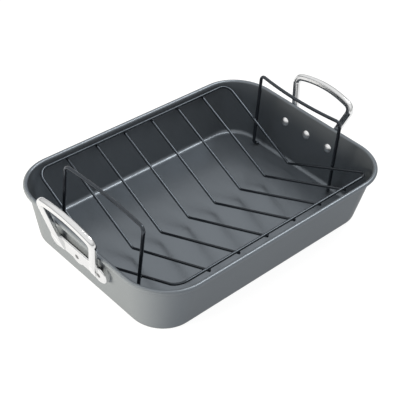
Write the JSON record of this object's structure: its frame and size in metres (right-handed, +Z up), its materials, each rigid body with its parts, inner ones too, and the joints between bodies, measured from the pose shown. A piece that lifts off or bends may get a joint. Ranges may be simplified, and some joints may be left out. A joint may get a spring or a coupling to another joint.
{
  "type": "roasting pan with rack",
  "caption": "Deep rectangular roasting pan with a rolled rim, riveted upright loop handles and a loose V-shaped wire rack that lifts out by tall end bails.",
  "frame": {"origin": "centre of the pan's flat underside, on the table", "axes": "+X along the pan from handle to handle, +Y across it, +Z up out of the pan's mouth"},
  "size_m": [0.474, 0.307, 0.1316],
  "materials": {
    "nonstick": "dark grey semi-gloss nonstick coating on drawn steel",
    "bare_wire": "bare drawn steel wire",
    "handle_steel": "cast stainless steel, polished",
    "rivet_steel": "stainless steel, polished domed heads",
    "coated_wire": "black semi-gloss nonstick coating on steel wire"
  },
  "bodies": {
    "pan": {"pan_body": "nonstick", "rim_wire": "bare_wire", "handle_left": "handle_steel", "handle_right": "handle_steel", "rivet_left_1": "rivet_steel", "rivet_left_2": "rivet_steel", "rivet_left_3": "rivet_steel", "rivet_right_1": "rivet_steel", "rivet_right_2": "rivet_steel", "rivet_right_3": "rivet_steel"},
    "rack": {"rack_frame": "coated_wire", "rack_wire_1": "coated_wire", "rack_wire_2": "coated_wire", "rack_wire_3": "coated_wire", "rack_wire_4": "coated_wire", "rack_wire_5": "coated_wire", "rack_wire_6": "coated_wire", "rack_bail_left": "coated_wire", "rack_bail_right": "coated_wire"}
  },
  "joints": [
    {"name": "rack_lift", "type": "slide", "parent": "pan", "child": "rack", "axis": [0, 0, 1], "range_m": [0, 0.1]}
  ]
}
